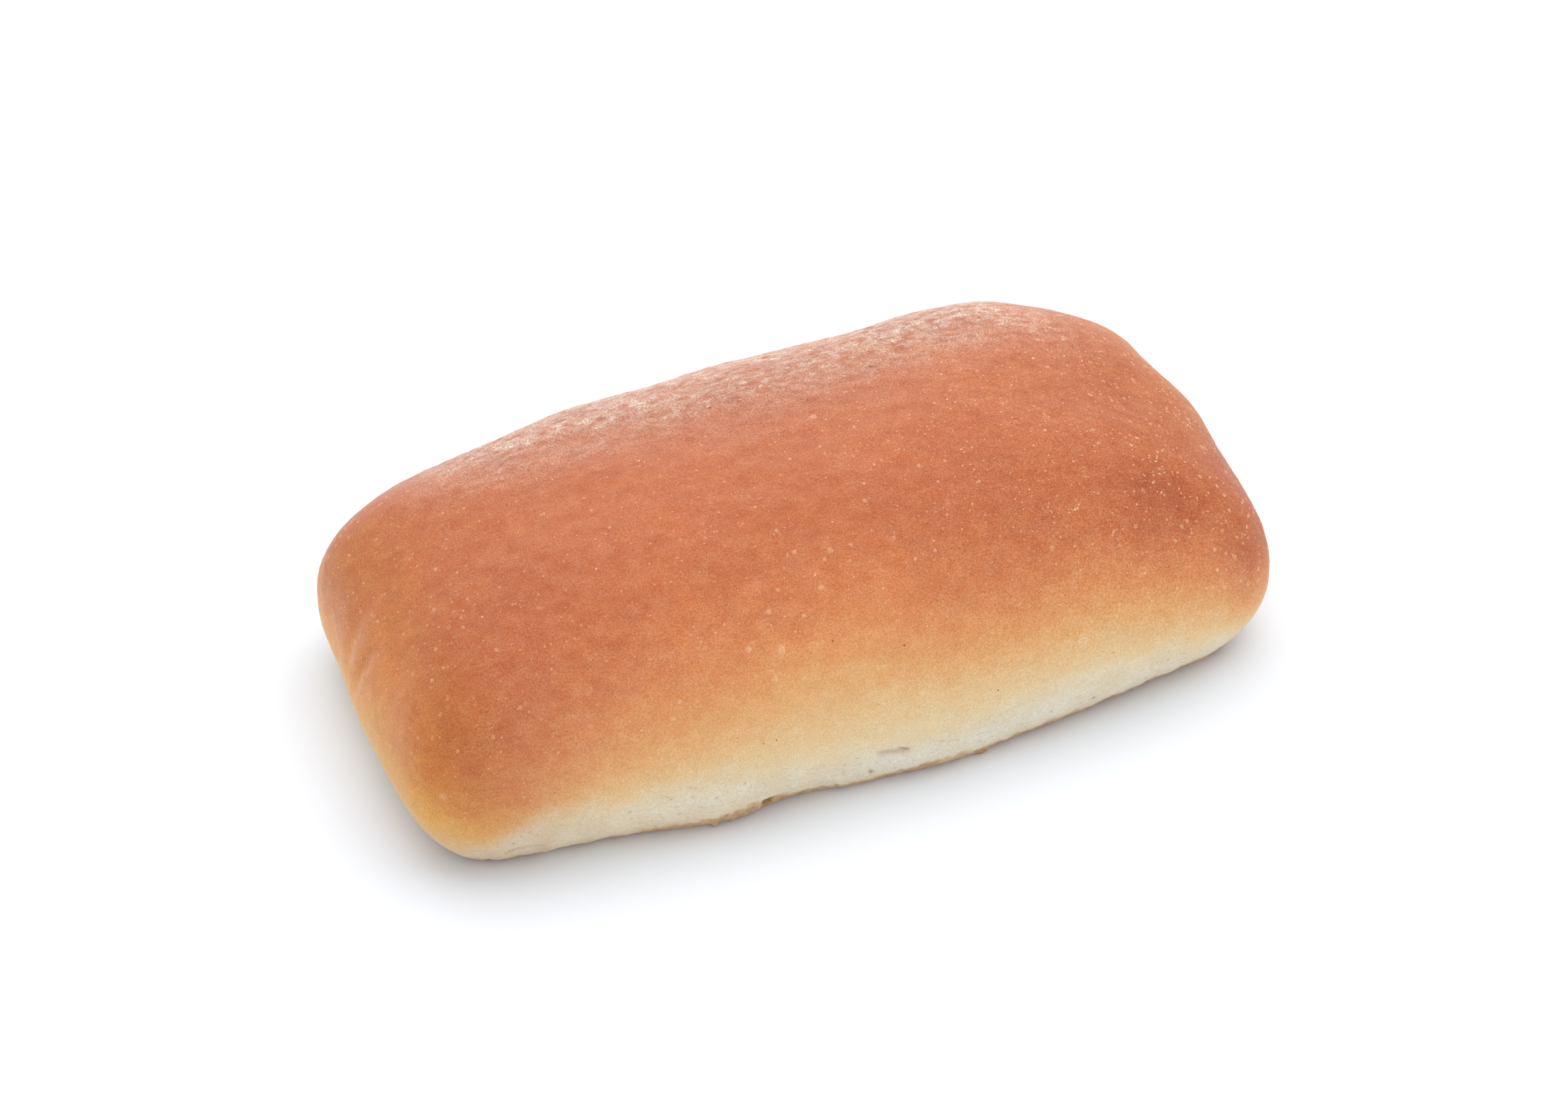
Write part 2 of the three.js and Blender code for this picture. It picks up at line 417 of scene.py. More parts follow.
def browning(points):
    """How brown the crust is: 0 pale gold, 1 deep brown.

    It rises with height between three levels that vary along the roll. The hidden back is like the
    front, the other way round. Patches are Gaussian spots.
    """
    x, y, z = np.moveaxis(points, -1, 0)
    side = smooth(-12, 12, y)
    total = np.zeros(x.shape)
    for along, share in ((x, 1 - side), (-x, side)):
        pale = np.interp(along, BROWNING_X, PALE_HEIGHT)
        half = np.interp(along, BROWNING_X, HALF_HEIGHT)
        full = np.interp(along, BROWNING_X, FULL_HEIGHT)
        total += share * (0.5 * soft_rise(pale, half, z) + 0.45 * soft_rise(half, full, z))
    for place, reach_mm, change in PATCHES:
        distance = np.linalg.norm(points - np.array(place, float), axis=-1)
        total += change * np.exp(-(distance / reach_mm) ** 2)
    return total


def crumb_share(points):
    """1 on the torn crumb of the long sides, 0 on crust, with an uneven soft upper edge."""
    x, y, z = np.moveaxis(points, -1, 0)
    top = np.interp(np.where(y < 0, x, -x), CRUMB_X, CRUMB_TOP)
    edge = 0.8 * ripples(points, 9, 31) + 0.3 * ripples(points, 2.5, 32)
    return smooth(-3.6, 3.6, top - z + edge) * smooth(20, 26, np.abs(y)) * (top > 2)


def white_share(points):
    """How white the torn crumb is, 0 to 1: the sum of Gaussian spots."""
    total = np.zeros(points.shape[:-1])
    for place, reach, share in WHITE_SPOTS:
        aside = (points[..., 0] - place[0]) / reach[0]
        above = (points[..., 2] - place[1]) / reach[1]
        total += share * np.exp(-aside ** 2 - above ** 2)
    return np.clip(total, 0, 1)


def foot_share(points):
    """1 on the browned underside and its edge, 0 above."""
    x, y, z = np.moveaxis(points, -1, 0)
    top = np.interp(np.where(y < 0, x, -x), FOOT_X, FOOT_TOP)
    edge = 0.25 * ripples(points, 5, 33) + 0.15 * ripples(points, 1.4, 34)
    return smooth(-0.7, 0.7, top - z + edge)


def crinkle_share(points):
    """1 on the crinkled back of the crown, 0 elsewhere. It starts farther forward in the middle."""
    x, y, z = np.moveaxis(points, -1, 0)
    start = 0.22 * np.abs(x) - 5
    return smooth(start, start + 19, y) * smooth(16, 26, z) * smooth(58, 32, x) * smooth(-66, -40, x)


def along_wrinkles(points):
    """The points turned about the vertical, so that the crust's wrinkles run along X."""
    ahead, aside = math.cos(WRINKLE_TURN), math.sin(WRINKLE_TURN)
    x, y = points[..., 0], points[..., 1]
    return np.stack([ahead * x + aside * y, ahead * y - aside * x, points[..., 2]], axis=-1)


def hollow_share(points):
    """1 in the middle of the crinkled crust's small hollows, which are longer than they are wide."""
    return smooth(0.4, 1.9, ripples(along_wrinkles(points), 1.6, 15, waves=40, stretch=(1.9, 1, 1)))


def painted_sheen_share(points):
    """How much whitish painted sheen lies on the back of the crown: it comes in patches, most at the back
    edge.
    """
    x, y, z = np.moveaxis(points, -1, 0)
    turned = along_wrinkles(points)
    patches = np.clip(1 + 0.2 * ripples(turned, 7, 17, stretch=(1.6, 1, 1)), 0, 2)
    patches *= np.clip(1 + 0.45 * ripples(turned, 1.7, 18, waves=40, stretch=(2.0, 1, 1)), 0, 2.5)
    patches *= 1 - 0.8 * hollow_share(points) * crinkle_share(points)
    reach = smooth(66, 40, x) * smooth(-62, -40, x) * smooth(22, 35, z)
    back = smooth(7, 25, y + 4 * smooth(40, 52, x))
    return patches * reach * (0.2 * crinkle_share(points) + 0.8 * back)


def crust_relief(points):
    """Height in millimetres of the crust's fine relief: sums of soft ripples.

    Broad waves and orange peel everywhere, with wrinkles, crinkles and small hollows on the back of the
    crown, drawn out along the wrinkles. It fades out at the foot.
    """
    relief = 0.09 * ripples(points, 17, 11) + 0.022 * ripples(points, 6, 12, stretch=(1.6, 1, 1))
    relief += 0.014 * ripples(points, 2.6, 13)
    turned = along_wrinkles(points)
    wrinkle = 0.035 * ripples(turned, 2.6, 14, waves=40, stretch=(2.2, 1, 1))
    crinkle = 0.040 * ripples(turned, 1.3, 16, waves=40, stretch=(1.7, 1, 1))
    relief += crinkle_share(points) * (wrinkle + crinkle - 0.09 * hollow_share(points))
    return relief * smooth(0.5, 3, points[..., 2])


def crust_masks(points):
    """The numbers that the crust's material reads at each point."""
    x, y = points[..., 0], points[..., 1]
    crinkled = crinkle_share(points)
    hollow = hollow_share(points) * crinkled
    right = smooth(45, 66, x)
    front = smooth(-14, -30, y)
    return {
        "bake": browning(points),
        "crumb": crumb_share(points),
        "foot": foot_share(points),
        "dull": np.clip(0.5 - 0.42 * crinkled + 0.35 * hollow + 0.5 * right + 0.25 * front, 0, 1),
        "crinkle": crinkled,
        "hollow": hollow,
        "bloom": painted_sheen_share(points),
        # Painted shade on the low left end, where less light reaches it
        "shade": smooth(-40, -62, x) * smooth(34, 18, points[..., 2]) * smooth(8, -12, y),
        "streaked": smooth(10, 40, x) * smooth(68, 56, x) * smooth(-22, -4, y),
        "tan": smooth(-55, -74, x) + 0.4 * smooth(48, 68, x) * smooth(-26, -4, y),
        "dotted": smooth(-5, 40, x) * smooth(12, 22, points[..., 2]),
        "white": white_share(points),
    }


def vertex_normals(points, faces):
    """Unit normals at the points: the sums of the normals of the quads that meet there."""
    corner = points[faces]
    face = np.cross(corner[:, 2] - corner[:, 0], corner[:, 3] - corner[:, 1])
    total = np.stack([
        np.bincount(faces.ravel(), np.repeat(face[:, axis], 4), len(points)) for axis in range(3)
    ], axis=-1)
    return total / np.maximum(np.linalg.norm(total, axis=-1, keepdims=True), 1e-12)


def frames(normals):
    """Two unit directions along the surface at each normal."""
    helper = np.where(np.abs(normals[:, :1]) < 0.8, np.array([[1.0, 0, 0]]), np.array([[0, 1.0, 0]]))
    first = np.cross(normals, helper)
    first /= np.linalg.norm(first, axis=1, keepdims=True)
    return first, np.cross(normals, first)


# ---------------------------------------------------------------- meshes

def ring_faces(rows, columns):
    """Quads of a grid of rows, closed along the columns."""
    row, column = np.meshgrid(np.arange(rows - 1), np.arange(columns), indexing="ij")
    after = (column + 1) % columns
    quads = np.stack([
        row * columns + column, row * columns + after,
        (row + 1) * columns + after, (row + 1) * columns + column,
    ], axis=-1)
    return quads.reshape(-1, 4)


def fans(rows, columns):
    """Triangles that close such a grid: its first row on the point after it, its last on the next one."""
    column = np.arange(columns)
    after = (column + 1) % columns
    last = (rows - 1) * columns
    low = np.stack([after, column, np.full(columns, rows * columns)], axis=-1)
    high = np.stack([last + column, last + after, np.full(columns, rows * columns + 1)], axis=-1)
    return low, high


def repeat_faces(parts, count, size):
    """The face arrays of one small thing with so many points, repeated for a number of such things."""
    offset = np.arange(count)[:, None, None] * size
    return [(face[None] + offset).reshape(-1, face.shape[1]) for face in parts]


def make_mesh(name, points, faces, masks, flat_faces=0):
    """A mesh object from points in millimetres, a list of face arrays and named point masks.

    It is smooth but for the last few faces, whose number is flat_faces and which lie out of sight.
    """
    loops = np.concatenate([face.ravel() for face in faces])
    counts = np.concatenate([np.full(len(face), face.shape[1]) for face in faces])
    starts = np.concatenate([[0], np.cumsum(counts)[:-1]])
    smooth_faces = np.arange(len(starts)) < len(starts) - flat_faces
    mesh = bpy.data.meshes.new(name)
    mesh.vertices.add(len(points))
    mesh.vertices.foreach_set("co", (points * MM).astype(np.float32).ravel())
    mesh.loops.add(len(loops))
    mesh.loops.foreach_set("vertex_index", loops.astype(np.int32))
    mesh.polygons.add(len(starts))
    mesh.polygons.foreach_set("loop_start", starts.astype(np.int32))
    mesh.polygons.foreach_set("loop_total", counts.astype(np.int32))
    mesh.polygons.foreach_set("use_smooth", smooth_faces)
    mesh.update(calc_edges=True)
    for mask, values in masks.items():
        layer = mesh.attributes.new(mask, "FLOAT", "POINT")
        layer.data.foreach_set("value", values.astype(np.float32).ravel())
    piece = bpy.data.objects.new(name, mesh)
    bpy.context.scene.collection.objects.link(piece)
    return piece


def loaf_grid():
    """The smooth loaf's points, its quads, and the fan to its last point, the middle of the underside.

    The crown is a rectangular grid bent so that its concentric rectangles become the rings of the loaf,
    spaced evenly along the profile. The wall's rows carry on down from its border, and the underside's
    rows close in on the middle.
    """
    along, across = CROWN_STEPS
    fine = np.linspace(0, 1, 2001)
    profile = loaf_points(np.full(fine.shape, math.pi / 2), 2.0, fine)
    length = np.concatenate([[0], np.cumsum(np.linalg.norm(np.diff(profile, axis=0), axis=1))])
    a, b = np.meshgrid(np.arange(-along, along + 1) / along, np.arange(-across, across + 1) / across)
    ring = np.maximum(np.abs(a), np.abs(b))
    share = np.interp(ring * length[-1], length, fine)
    crown = loaf_points(np.arctan2(b, a), np.where(ring < 1, 2.0, 1.0), share).reshape(-1, 3)
    rows, columns = a.shape
    index = np.arange(rows * columns).reshape(rows, columns)
    quads = np.stack([index[:-1, :-1], index[:-1, 1:], index[1:, 1:], index[1:, :-1]], axis=-1)
    border = np.concatenate([index[0, :-1], index[:-1, -1], index[-1, :0:-1], index[:0:-1, 0]])
    angle = np.arctan2(b, a).ravel()[border]

    wall = 1 - np.arange(1, WALL_ROWS + 1) / WALL_ROWS
    base = 1 - np.arange(1, BASE_ROWS) / BASE_ROWS
    level = np.concatenate([wall, np.zeros(len(base))])[:, None]
    rim = np.concatenate([np.ones(WALL_ROWS), base])[:, None]
    skirt = loaf_points(angle[None], level, rim)
    skirt_rings = len(crown) + np.arange(skirt[..., 0].size).reshape(len(level), -1)
    rings = np.concatenate([border[None], skirt_rings])
    below = np.stack([
        rings[:-1], rings[1:], np.roll(rings[1:], -1, axis=1), np.roll(rings[:-1], -1, axis=1),
    ], axis=-1)
    points = np.concatenate([crown, skirt.reshape(-1, 3), np.zeros((1, 3))])
    last = np.full(rings.shape[1], len(points) - 1)
    fan = np.stack([rings[-1], last, np.roll(rings[-1], -1)], axis=-1)
    return points, np.concatenate([quads.reshape(-1, 4), below.reshape(-1, 4)]), fan


def band_depth(points):
    """How far inside the torn band's outline a point lies, in millimetres."""
    x, y, z = np.moveaxis(points, -1, 0)
    along = np.where(y < 0, x, -x)
    ends = np.minimum(along + BAND_LEFT, BAND_RIGHT - along) * 0.9
    return np.where(np.abs(y) > 15, np.minimum(BAND_TOP - z, ends), -10)


def make_loaf():
    """The loaf's closed skin, with its fine relief, drawn in where the torn sides cover it."""
    points, quads, fan = loaf_grid()
    normals = vertex_normals(points, quads)
    level = normals * np.array([1, 1, 0])
    level /= np.maximum(np.linalg.norm(level, axis=1, keepdims=True), 0.3)
    drawn_in = SINK_DEPTH * smooth(3.2, 6.5, band_depth(points))
    shown = points + crust_relief(points)[:, None] * normals
    loaf = make_mesh("loaf_crust", shown - drawn_in[:, None] * level, [quads, fan], crust_masks(points))
    return loaf, shown, quads, vertex_normals(shown, quads)


def segment_distance(x, z, start, end):
    """Distance in the side's own plane from the line between two places."""
    dx, dz = end[0] - start[0], end[1] - start[1]
    share = np.clip(((x - start[0]) * dx + (z - start[1]) * dz) / (dx * dx + dz * dz), 0, 1)
    return np.hypot(x - start[0] - share * dx, z - start[1] - share * dz)


def overhang(x, z, edge, tall, low, high):
    """A recess that is deepest right under an edge and runs out below it, between two ends."""
    under = np.clip((edge - z) / tall, 0, 1)
    return smooth(0, 0.12, under) * (1 - under) * smooth(low, low + 0.8, x) * smooth(high, high - 0.8, x)


def front_tears(points):
    """Relief and painted shade of the front's own tears: splits, pits, a fold, the torn lip and its notch.

    Splits and pits are Gaussian grooves and dents. The lip and the notch are bounded by soft steps with a
    ragged edge.
    """
    x, z = points[..., 0], points[..., 2]
    relief, stain = np.zeros(x.shape), np.zeros(x.shape)
    for start, end, half_width, depth, tint in SLITS:
        line = np.exp(-(segment_distance(x, z, start, end) / half_width) ** 2)
        relief -= depth * line
        stain += tint * line
    for place_x, place_z, radius, depth in PITS:
        pit = np.exp(-((x - place_x) ** 2 + (z - place_z) ** 2) / radius ** 2)
        relief -= depth * pit
        stain += 0.45 * pit
    fold = overhang(x, z, 6.0 - 0.12 * (x + 58.5) ** 2, 1.6, -62, -55)
    relief -= 0.5 * fold
    stain += 0.38 * fold
    ragged = 0.5 * ripples(points, 1.6, 51) + 0.35 * ripples(points, 0.8, 52)
    lip_top = 3.0 + 0.13 * (x + 28) + 0.3 * ragged
    lip = smooth(-0.35, 0.35, lip_top - z) * smooth(-30, -27, x) * smooth(-18.9, -19.3, x + 0.1 * ragged)
    lip *= smooth(0.3, 0.9, z)
    relief += lip * (0.16 + 0.06 * ragged)
    notch = smooth(-19.3, -18.9, x + 0.1 * ragged) * smooth(-17.0, -17.4, x + 0.1 * ragged)
    notch *= smooth(1.0, 1.5, z) * smooth(4.2, 3.8, z + 0.15 * ragged)
    relief -= 0.65 * notch
    return relief, np.clip(stain, 0, 1), lip, notch


def torn_relief(points):
    """Height of the torn crumb's relief, and how deep its pores are: pulled fibres, tufts and pores."""
    slant = points.copy()
    slant[..., 2] = points[..., 2] + 0.4 * points[..., 0]
    fibres = 0.018 * ripples(slant, 0.8, 41, waves=40, stretch=(1.8, 1, 1))
    fibres += 0.014 * ripples(points, 0.6, 42, waves=40)
    tufts = 0.042 * ripples(points, 2.4, 43, stretch=(1.4, 1, 1)) + 0.07 * ripples(points, 6, 44)
    pores = smooth(2.0, 3.0, ripples(points, 1.1, 45, waves=40, stretch=(1.2, 1, 1)))
    return fibres + tufts - 0.09 * pores, pores


def make_torn_side(name, side, grid):
    """A torn long side: a closed band that follows the loaf's wall and sinks into it at its borders.

    side is 1 for the front and -1 for the back. The outer rows run from the top down to the foot, and a
    few inner rows, set into the loaf, close the band.
    """
    columns, rows = grid
    reach = np.linspace(-1.12, 1.17, columns)[:, None]
    height = BAND_TOP * (1 - np.linspace(0, 1, rows)[None]) ** 1.15
    fall = np.clip((height - WAIST_HEIGHT) / (CROWN_HEIGHT - WAIST_HEIGHT), 0, 1)
    share = (1 - fall ** CROWN_FULLNESS) ** (1 / CROWN_POWER_ACROSS)
    level = np.where(height > WAIST_HEIGHT, 2.0, height / WAIST_HEIGHT)
    outer = loaf_points(np.arctan2(-side, reach * side), level, share)
    normal = np.cross(np.gradient(outer, axis=1), np.gradient(outer, axis=0))
    normal /= np.maximum(np.linalg.norm(normal, axis=-1, keepdims=True), 1e-12)

    masks = crust_masks(outer)
    crumb = masks["crumb"] * smooth(0.2, 1.5, outer[..., 2])
    felt, pores = torn_relief(outer)
    relief = crust_relief(outer) * (1 - 0.5 * crumb) + crumb * felt
    # Painted shade in the pores of the torn crumb, and below in its tears, pits, fold and notch
    stain = 0.3 * pores * crumb
    if side > 0:
        tears, tear_shade, lip, notch = front_tears(outer)
        relief += tears
        stain = np.maximum(stain, tear_shade)
        masks["foot"] = np.maximum(masks["foot"], np.maximum(0.7 * lip, notch))
        stain = np.maximum(stain, 0.6 * notch)
    masks["stain"] = stain
    relief += -0.2 + 0.24 * smooth(0, 5, band_depth(outer))
    shown = outer + relief[..., None] * normal
    shown[..., 2] = np.maximum(shown[..., 2], 0.03)
    inside = np.arange(rows - 4, 8, -(rows // 8))
    inner = outer[:, inside] - INNER_DEPTH * normal[:, inside]
    inner[..., 2] = np.maximum(inner[..., 2], 0.3)
    loop = np.concatenate([shown, inner], axis=1)
    masks = {key: np.concatenate([value, value[:, inside]], axis=1) for key, value in masks.items()}
    return make_capped_rings(name, loop, masks)


def make_capped_rings(name, points, masks):
    """A closed skin: rings of points with a fan of triangles to the middle of the first and last ring."""
    rows, columns = points.shape[:2]
    every = np.concatenate([points.reshape(-1, 3), points[:1].mean(1), points[-1:].mean(1)])
    masks = {
        key: np.concatenate([value.ravel(), value[:1].mean(1), value[-1:].mean(1)])
        for key, value in masks.items()
    }
    return make_mesh(name, every, [ring_faces(rows, columns), *fans(rows, columns)], masks)


def make_domes(name, centres, normals, half_wide, half_tall, lift, masks, segments=10):
    """Many small closed lenses: a low dome on the crust and a point under it, joined in one mesh.

    A dome's height over its radius share r is lift times half its width times (1 - r^2)^2, less a drop
    that follows the crust's curve. A skirt past r = 1 dips into the crust. The mask "rim" is 1 at the
    dome's edge and 0 in its middle.
    """
    upward, level = frames(normals)
    turn = np.arange(segments) / segments * 2 * math.pi
    ring = np.stack([np.cos(turn), np.sin(turn)], axis=-1)
    radii = np.stack([half_wide, half_tall], axis=-1)
    flat = ring[None] * radii[:, None]
    plane = flat[..., 1:] * upward[:, None] - flat[..., :1] * level[:, None]
    up = normals[:, None]
    rise = (lift * half_wide)[:, None, None] * up
    curve = (CRUST_CURVE + CRINKLE_CURVE * masks["crinkle"])[:, None, None]
    drop = curve * (flat ** 2).sum(-1, keepdims=True) / 2 * up
    centre = centres[:, None]
    rings = [
        centre + share * plane + height * rise - share ** 2 * drop for share, height, _ in DOME_RINGS
    ]
    points = np.concatenate(rings + [centre - 2 * rise, centre + rise], axis=1)
    size = points.shape[1]
    root, cap = fans(len(DOME_RINGS), segments)
    parts = (ring_faces(len(DOME_RINGS), segments), cap, root)
    faces = repeat_faces(parts, len(centres), size)
    masks = {key: np.repeat(value, size) for key, value in masks.items()}
    rim = np.concatenate([np.repeat([edge for _, _, edge in DOME_RINGS], segments), [1.0, 0.0]])
    masks["rim"] = np.tile(rim, len(centres))
    return make_mesh(name, points.reshape(-1, 3), faces, masks, flat_faces=len(faces[-1]))


def scatter(points, quads, normals, weight, count, random):
    """Random places on the mesh, spread by area times weight, with the normals there."""
    corner = points[quads]
    area = np.linalg.norm(np.cross(corner[:, 2] - corner[:, 0], corner[:, 3] - corner[:, 1]), axis=1)
    chance = area * weight(corner.mean(1))
    picked = random.choice(len(quads), count, p=chance / chance.sum())
    u, v = random.uniform(size=(2, count, 1))
    corner = corner[picked]
    first_edge = corner[:, 0] * (1 - u) + corner[:, 1] * u
    second_edge = corner[:, 3] * (1 - u) + corner[:, 2] * u
    return first_edge * (1 - v) + second_edge * v, normals[quads[picked, 0]]


def nearest(points, places):
    """Index of the point nearest to each place."""
    return np.array([np.argmin(np.linalg.norm(points - np.array(place, float), axis=1)) for place in places])


def make_blisters(points, quads, normals):
    """The crust's pale blisters: the named larger ones, many small ones of random size, and clusters of tiny
    grains painted pale as glints.
    """
    def density(place):
        x, y = place[:, 0], place[:, 1]
        ends = smooth(35, 66, x) * 3.5 + smooth(-50, -70, x) * 1.3
        return (1 - crumb_share(place)) * smooth(6, 10, place[:, 2]) * (1 + ends + 0.8 * smooth(5, 25, y))
    random = np.random.default_rng(BLISTER_SEED)
    place, normal = scatter(points, quads, normals, density, BLISTER_COUNT, random)
    radius = np.minimum(0.16 + 0.10 * random.gamma(1.2, 1.0, BLISTER_COUNT), 0.6)
    glint_grains = np.concatenate([
        np.array(middle) + random.normal(0, spread, (count, 3)) for middle, spread, count in GLINT_GRAIN_CLUSTERS
    ])
    index = nearest(points, [blister[0] for blister in BLISTERS] + list(glint_grains))
    place = np.concatenate([place, points[index]])
    normal = np.concatenate([normal, normals[index]])
    glint_grain_radius = random.uniform(0.12, 0.26, len(glint_grains))
    larger = BLISTER_SCALE * np.array([blister[1:] for blister in BLISTERS])
    wide = np.concatenate([radius, larger[:, 0], glint_grain_radius])
    tall = np.concatenate([radius, larger[:, 1], 1.3 * glint_grain_radius])
    tall[:BLISTER_COUNT] *= random.uniform(0.8, 1.25, BLISTER_COUNT)
    pale = random.uniform(0.2, 1.0, len(wide)) * np.clip(0.28 / wide, 0.45, 1)
    pale += 0.3 * smooth(40, 62, place[:, 0]) + 0.3 * crinkle_share(place)
    pale[BLISTER_COUNT:] = 0.6
    # The tiny grains are painted glints, paler than any blister
    pale[BLISTER_COUNT + len(BLISTERS):] = 1.5
    masks = crust_masks(place)
    masks["blister"] = pale
    return make_domes("crust_blisters", place, normal, wide, tall, BLISTER_LIFT, masks)


def make_specks(points, quads, normals):
    """Dark char specks: the named ones on the front and small random ones."""
    def density(place):
        return smooth(8, 14, place[:, 2]) * (1 - 0.7 * crumb_share(place))
    random = np.random.default_rng(SPECK_SEED)
    place, normal = scatter(points, quads, normals, density, SPECK_COUNT, random)
    index = nearest(points, [speck[0] for speck in SPECKS])
    place = np.concatenate([place, points[index]])
    normal = np.concatenate([normal, normals[index]])
    radius = np.concatenate([random.uniform(0.07, 0.14, SPECK_COUNT), [speck[1] for speck in SPECKS]])
    masks = crust_masks(place)
    masks["char"] = np.concatenate([random.uniform(0.3, 0.7, SPECK_COUNT), np.full(len(SPECKS), 0.8)])
    tall = radius * SPECK_STRETCH
    return make_domes("char_specks", place, normal, radius, tall, SPECK_LIFT, masks, segments=7)


def make_strands(name, paths, radius, masks, sides=5):
    """Thin closed strands along paths, thinning to their ends, joined in one mesh.

    paths holds for each strand the same number of points. A ring of a few sides stands square to the
    path at each point, and a point closes each end.
    """
    count, steps = paths.shape[:2]
    along = np.gradient(paths, axis=1)
    along /= np.linalg.norm(along, axis=-1, keepdims=True)
    first, second = frames(along.reshape(-1, 3))
    first, second = first.reshape(paths.shape), second.reshape(paths.shape)
    turn = np.arange(sides) / sides * 2 * math.pi
    thin = np.sqrt(np.maximum(1 - np.linspace(-0.96, 0.96, steps) ** 2, 0))[None, :, None, None]
    ring = np.cos(turn)[:, None] * first[:, :, None] + np.sin(turn)[:, None] * second[:, :, None]
    body = paths[:, :, None] + radius[:, None, None, None] * thin * ring
    points = np.concatenate([body.reshape(count, -1, 3), paths[:, :1], paths[:, -1:]], axis=1)
    size = points.shape[1]
    faces = repeat_faces((ring_faces(steps, sides), *fans(steps, sides)), count, size)
    masks = {key: np.repeat(value, size) for key, value in masks.items()}
    return make_mesh(name, points.reshape(-1, 3), faces, masks)


def lay_strands(places, normals, headings, lengths, wave, random, steps=14):
    """Paths of strands that lie on the surface: a straight line with a sideways wiggle and raised middle."""
    side = np.cross(normals, headings)
    share = np.linspace(-0.5, 0.5, steps)[None, :, None]
    phase = random.uniform(0, 2 * math.pi, (len(places), 1, 1))
    wiggle = wave[:, None, None] * np.sin(share * 9 + phase)
    arch = 0.05 * (1 - 4 * share ** 2) - 0.01
    return (places[:, None] + share * lengths[:, None, None] * headings[:, None] + wiggle * side[:, None]
            + arch * normals[:, None])


def make_fibres(points, quads, normals):
    """Pulled crumb fibres on the torn sides: the four long pale ones and many short ones."""
    def density(place):
        return crumb_share(place) * smooth(4, 6, place[:, 2])
    random = np.random.default_rng(FIBRE_SEED)
    place, normal = scatter(points, quads, normals, density, FIBRE_COUNT, random)
    index = nearest(points, [fibre[0] for fibre in LONG_FIBRES])
    place = np.concatenate([place, points[index] + 0.08 * normals[index]])
    normal = np.concatenate([normal, normals[index]])
    slope = np.concatenate([random.normal(-0.5, 0.8, FIBRE_COUNT), np.full(len(LONG_FIBRES), -0.45)])
    level = np.stack([-normal[:, 1], normal[:, 0], 0 * slope], axis=-1)
    level /= np.linalg.norm(level, axis=1, keepdims=True)
    heading = level * np.cos(slope)[:, None] + np.array([0, 0, 1.0]) * np.sin(slope)[:, None]
    heading -= (heading * normal).sum(1, keepdims=True) * normal
    heading /= np.linalg.norm(heading, axis=1, keepdims=True)
    length = np.concatenate([random.uniform(0.5, 1.4, FIBRE_COUNT), [fibre[1] for fibre in LONG_FIBRES]])
    thin = random.uniform(0.015, 0.03, FIBRE_COUNT)
    radius = np.concatenate([thin, np.full(len(LONG_FIBRES), LONG_FIBRE_RADIUS)])
    paths = lay_strands(place, normal, heading, length, 0.07 * length, random)
    return make_strands("crumb_fibres", paths, radius, {"shade": random.uniform(0, 1, len(length))})


def make_lint(points, normals):
    """Two thin pale curls that lie on the back of the crown: parabolas with slightly raised ends."""
    random = np.random.default_rng(LINT_SEED)
    index = nearest(points, LINT_PLACES)
    normal = normals[index]
    heading = np.cross(normal, np.array([0.15, 1.0, 0]))
    heading /= np.linalg.norm(heading, axis=1, keepdims=True)
    side = np.cross(normal, heading)
    share = np.linspace(-1, 1, 14)[None, :, None]
    bend = 0.35 * share ** 2
    paths = points[index][:, None] + 0.95 * share * heading[:, None] + bend * side[:, None]
    paths = paths + (0.12 + 0.1 * share ** 2) * normal[:, None]
    shade = random.uniform(0, 1, len(LINT_PLACES))
    return make_strands("lint_curls", paths, np.full(len(LINT_PLACES), LINT_RADIUS), {"shade": shade})


def make_scraps():
    """Torn scraps of bottom crust that hang at the foot: ellipsoids of rings with a ragged outline."""
    centre = np.array([place for place, _ in SCRAPS])
    size = np.array([half_size for _, half_size in SCRAPS])
    turn = np.arange(16) / 16 * 2 * math.pi
    rise = np.linspace(-0.85, 0.85, 7)[:, None]
    reach = np.sqrt(1 - rise ** 2)
    ring = np.stack([np.cos(turn) * reach, np.sin(turn) * reach, rise + 0 * turn], axis=-1)
    body = centre[:, None, None] + ring[None] * size[:, None, None]
    body = body + 0.12 * ripples(body, 0.9, 61)[..., None] * ring[None]
    body[..., 2] = np.maximum(body[..., 2], 0.05)
    rows, columns = ring.shape[:2]
    poles = np.stack([body[:, 0].mean(1), body[:, -1].mean(1)], axis=1)
    points = np.concatenate([body.reshape(len(SCRAPS), -1, 3), poles], axis=1)
    parts = (ring_faces(rows, columns), *fans(rows, columns))
    faces = repeat_faces(parts, len(SCRAPS), points.shape[1])
    whole = np.ones(points[..., 0].size)
    masks = {"foot": 0.9 * whole, "bake": 0.3 * whole}
    return make_mesh("crust_scraps", points.reshape(-1, 3), faces, masks)


# ---------------------------------------------------------------- materials

class Value:
    """A shader socket that can be added, subtracted, multiplied and divided like a number."""

    def __init__(self, paint, socket):
        self.paint = paint
        self.socket = socket

    def maths(self, operation, first, second):
        return self.paint.node("ShaderNodeMath", {"operation": operation}, {0: first, 1: second})

    def __add__(self, other):
        return self.maths("ADD", self, other)

    def __radd__(self, other):
        return self.maths("ADD", other, self)

    def __sub__(self, other):
        return self.maths("SUBTRACT", self, other)

    def __rsub__(self, other):
        return self.maths("SUBTRACT", other, self)

    def __mul__(self, other):
        return self.maths("MULTIPLY", self, other)

    def __rmul__(self, other):
        return self.maths("MULTIPLY", other, self)

    def __truediv__(self, other):
        return self.maths("DIVIDE", self, other)


